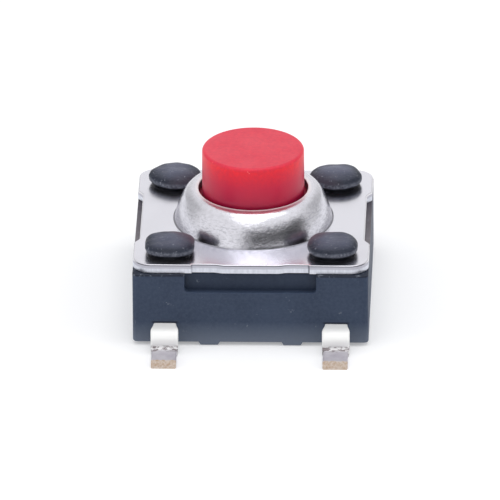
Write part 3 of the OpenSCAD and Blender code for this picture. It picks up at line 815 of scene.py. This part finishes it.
lead = {"straight": 0.3, "upperBend": 0.12, "lowerBend": 0.08, "corner": 0.03, "bendSteps": 8,
        "tipSlant": 0.12, "root": 0.1,
        "widths": [(0, 0.59), (0.42, 0.73), (0.62, 0.71), (0.74, 0.63), (0.98, 0.66), (1.42, 0.66)]}
stripWidth = lead["widths"][0][1]
tinned = tinnedBrass()


def widthAt(reach):
    for (fromReach, fromWidth), (toReach, toWidth) in zip(lead["widths"], lead["widths"][1:]):
        if reach <= toReach:
            share = max(0, (reach - fromReach) / (toReach - fromReach))
            share = share * share * (3 - 2 * share)
            return fromWidth + (toWidth - fromWidth) * share
    return lead["widths"][-1][1]


def addLead(bm, x, side):  # strip bent by turns and pushes, from inside the housing to its tip
    thick, exitHeight = leadSheet["thickness"], leadSheet["exitHeight"]
    before = set(bm.verts)
    outline = [(-0.5, 0), (0.5, 0), (0.5, thick), (-0.5, thick)]  # across in widths, up in millimetres
    section = [bm.verts.new((across * stripWidth, housingHalf - lead["root"], exitHeight + up))
               for across, up in outline]
    bm.faces.new(section)
    roundCorners(bm, section, lead["corner"], 3)
    face = [f for f in bm.faces if all(v not in before for v in f.verts)][0]

    def push(face, vector, steps=1):
        for _ in range(steps):
            made = bmesh.ops.extrude_face_region(bm, geom=[face])["geom"]
            face = [g for g in made if isinstance(g, bmesh.types.BMFace)][0]
            bmesh.ops.translate(bm, vec=Vector(vector) / steps, verts=face.verts[:])
        return face

    def turn(face, centre, degrees):
        made = bmesh.ops.spin(bm, geom=[face], cent=centre, axis=(1, 0, 0),
                              angle=math.radians(degrees), steps=lead["bendSteps"])
        return [g for g in made["geom_last"] if isinstance(g, bmesh.types.BMFace)][0]

    face = push(face, (0, lead["straight"] + lead["root"], 0), 4)
    face = turn(face, (0, housingHalf + lead["straight"], exitHeight - lead["upperBend"]), -90)
    face = push(face, (0, 0, -(exitHeight - lead["upperBend"] - thick - lead["lowerBend"])))
    lowerY = housingHalf + lead["straight"] + lead["upperBend"] + thick + lead["lowerBend"]
    face = turn(face, (0, lowerY, thick + lead["lowerBend"]), 90)
    face = push(face, (0, leadTip - lowerY, 0), 4)
    for v in face.verts:
        v.co.y -= lead["tipSlant"] * v.co.z / thick
    made = [v for v in bm.verts if v not in before]
    for v in made:
        v.co.x *= widthAt(v.co.y - housingHalf) / stripWidth
        v.co.x += x
        v.co.y *= side
    bmesh.ops.reverse_faces(bm, faces=[f for f in bm.faces if side < 0 and f.verts[0] in made])


def addRail(bm, side):
    half = frameSizes["railWidth"] / 2
    edges = sorted((side * (railX - half), side * (railX + half)))
    end = housingHalf - 0.02
    addBlock(bm, (edges[0], -end, leadSheet["exitHeight"]), (edges[1], end, wellFloor))


def makeCentreTerminal():
    bm = bmesh.new()
    low, high = leadSheet["exitHeight"], wellFloor
    addRail(bm, -1)
    half = frameSizes["tongue"] / 2
    addBlock(bm, (-railX, -half, low), (0, half, high))
    addRod(bm, frameSizes["tongueEnd"], low, high, 48)
    addRod(bm, frameSizes["centre"], low, high + frameSizes["rise"], 48)
    for side in (-1, 1):
        addLead(bm, -frameSizes["pitch"] / 2, side)
    finishPiece(bm, "centre_lead_frame", "housing", "centre_terminal", [tinned])


def makeOuterTerminal():
    bm = bmesh.new()
    low, high = leadSheet["exitHeight"], wellFloor
    outer, inner = frameSizes["ring"], frameSizes["ring"] - frameSizes["ringWidth"]
    outline = [(inner, low), (outer, low), (outer, high), (inner, high)]
    section = [bm.verts.new((x, 0, z)) for x, z in outline]
    start = bm.faces.new(section)
    sweep = 360 - 2 * frameSizes["gap"]
    bmesh.ops.rotate(bm, cent=(0, 0, 0), verts=section,
                     matrix=Matrix.Rotation(math.radians(180 + frameSizes["gap"]), 3, "Z"))
    bmesh.ops.spin(bm, geom=[start], cent=(0, 0, 0), axis=(0, 0, 1), angle=math.radians(sweep), steps=80)
    half = frameSizes["bridge"] / 2
    addBlock(bm, (outer - frameSizes["ringWidth"] / 2, -half, low), (railX, half, high))
    seatRadius = domeRadius - dome["land"] / 2
    for degrees in (45, 135, 225, 315):
        a = math.radians(degrees)
        addRod(bm, frameSizes["seat"], low, high + frameSizes["rise"], 24,
               (seatRadius * math.cos(a), seatRadius * math.sin(a)))
    addRail(bm, 1)
    for side in (-1, 1):
        addLead(bm, frameSizes["pitch"] / 2, side)
    finishPiece(bm, "outer_lead_frame", "housing", "outer_terminal", [tinned])


makeCentreTerminal()
makeOuterTerminal()


# Studio: pale floor, soft lamps and the camera

studio = {"floorSize": 1.2, "floorColour": (0.74, 0.745, 0.76), "floorGlow": 0.2, "floorLift": 0.3,
          "skyLight": 0.6, "cardDark": 0.96, "cardLow": (0.01, 0.07), "cardHigh": (0.30, 0.42),
          "cardTurn": 38, "cardWide": (0.50, 0.76), "backDark": 0.42, "backAside": (0.08, 0.6),
          "backBehind": (-0.1, 0.35), "backHigh": (0.5, 0.75)}
lamps = {"top softbox": {"place": (0.03, -0.03, 0.45), "size": 0.35, "power": 0.58},
         "front softbox": {"place": (-0.03, -0.29, 0.36), "size": 0.38, "power": 0.26},
         "left softbox": {"place": (-0.35, -0.12, 0.22), "size": 0.3, "power": 0.28, "inMetal": False},
         "right softbox": {"place": (0.35, -0.05, 0.22), "size": 0.3, "power": 0.28, "inMetal": False}}
view = {"azimuth": 1.81, "elevation": 25.27, "roll": -0.40, "distance": 0.4551, "lens": 1240.5,
        "target": (0, 0, 1.5 * mm), "panRight": -0.097 * mm, "panUp": -0.158 * mm}


def makeFloor():
    bm = bmesh.new()
    bmesh.ops.create_grid(bm, x_segments=2, y_segments=2, size=studio["floorSize"] / 2)
    floor = addObject("studio_floor", meshFrom(bm, "studio_floor"))
    material, tree, shader = newMaterial("pale floor")
    seen = addNode(tree, "ShaderNodeLightPath").outputs["Is Camera Ray"]
    feed(tree, shader, {"Base Color": (*studio["floorColour"], 1),
                        "Roughness": 0.9,
                        "Specular IOR Level": 0.1,
                        "Emission Color": (1, 1, 1, 1),
                        "Emission Strength": mapRange(tree, seen, 0, 1, studio["floorGlow"],
                                                      studio["floorLift"])})
    floor.data.materials.append(material)


def makeWorld():
    world = bpy.data.worlds.new("white studio")
    bpy.context.scene.world = world
    world.use_nodes = True
    tree = world.node_tree
    path = addNode(tree, "ShaderNodeLightPath").outputs
    seen = addMath(tree, "MAXIMUM", path["Is Camera Ray"], path["Is Glossy Ray"])
    seen = addMath(tree, "MAXIMUM", seen, path["Is Transmission Ray"])
    clear = mapRange(tree, seen, 0, 1, studio["skyLight"], 1)
    way = addNode(tree, "ShaderNodeTexCoord").outputs["Generated"]
    x, y, height = axesAt(tree, way)
    turn = math.radians(studio["cardTurn"])
    across = addNode(tree, "ShaderNodeVectorMath", {0: way}, operation="DOT_PRODUCT")
    across.inputs[1].default_value = (math.sin(turn), -math.cos(turn), 0)
    card = product(tree, path["Is Glossy Ray"],  # a dark card stands low in front, as metal sees it
                   mapRange(tree, height, *studio["cardLow"]),
                   mapRange(tree, height, *studio["cardHigh"], 1, 0),
                   mapRange(tree, across.outputs["Value"], *studio["cardWide"]))
    dim = product(tree, path["Is Glossy Ray"],  # a little darker behind, to the left and right
                  mapRange(tree, magnitude(tree, x), *studio["backAside"]),
                  mapRange(tree, y, *studio["backBehind"]),
                  mapRange(tree, height, *studio["backHigh"], 1, 0))
    strength = product(tree, clear, mapRange(tree, card, 0, 1, 1, 1 - studio["cardDark"]),
                       mapRange(tree, dim, 0, 1, 1, 1 - studio["backDark"]))
    feed(tree, tree.nodes["Background"], {"Color": (1, 1, 1, 1), "Strength": strength})


def addLamp(name, place, size, power, inMetal=True):
    data = bpy.data.lights.new(name, "AREA")
    data.shape = "DISK"
    data.size = size
    data.energy = power
    lamp = addObject(name, data)
    lamp.location = place
    lamp.rotation_mode = "QUATERNION"
    lamp.rotation_quaternion = (-Vector(place)).to_track_quat("-Z", "Y")
    lamp.visible_glossy = inMetal  # a lamp that metal doesn't mirror keeps its soft light only


def makeCamera():
    azimuth, elevation = math.radians(view["azimuth"]), math.radians(view["elevation"])
    back = Vector((math.sin(azimuth) * math.cos(elevation), -math.cos(azimuth) * math.cos(elevation),
                   math.sin(elevation)))
    right = Vector((math.cos(azimuth), math.sin(azimuth), 0))
    up = back.cross(right)
    roll = math.radians(view["roll"])
    right, up = (math.cos(roll) * right + math.sin(roll) * up,
                 -math.sin(roll) * right + math.cos(roll) * up)
    place = Vector(view["target"]) + back * view["distance"]
    place += right * view["panRight"]
    place += up * view["panUp"]
    data = bpy.data.cameras.new("photo camera")
    data.lens = view["lens"]
    data.sensor_width = 36
    camera = addObject("photo camera", data)
    turn = Matrix((right, up, back)).transposed().to_4x4()
    camera.matrix_world = Matrix.Translation(place) @ turn
    bpy.context.scene.camera = camera


makeFloor()
makeWorld()
for name, values in lamps.items():
    addLamp(name, **values)
makeCamera()
bpy.context.scene.view_settings.view_transform = "Standard"
print("studio made")
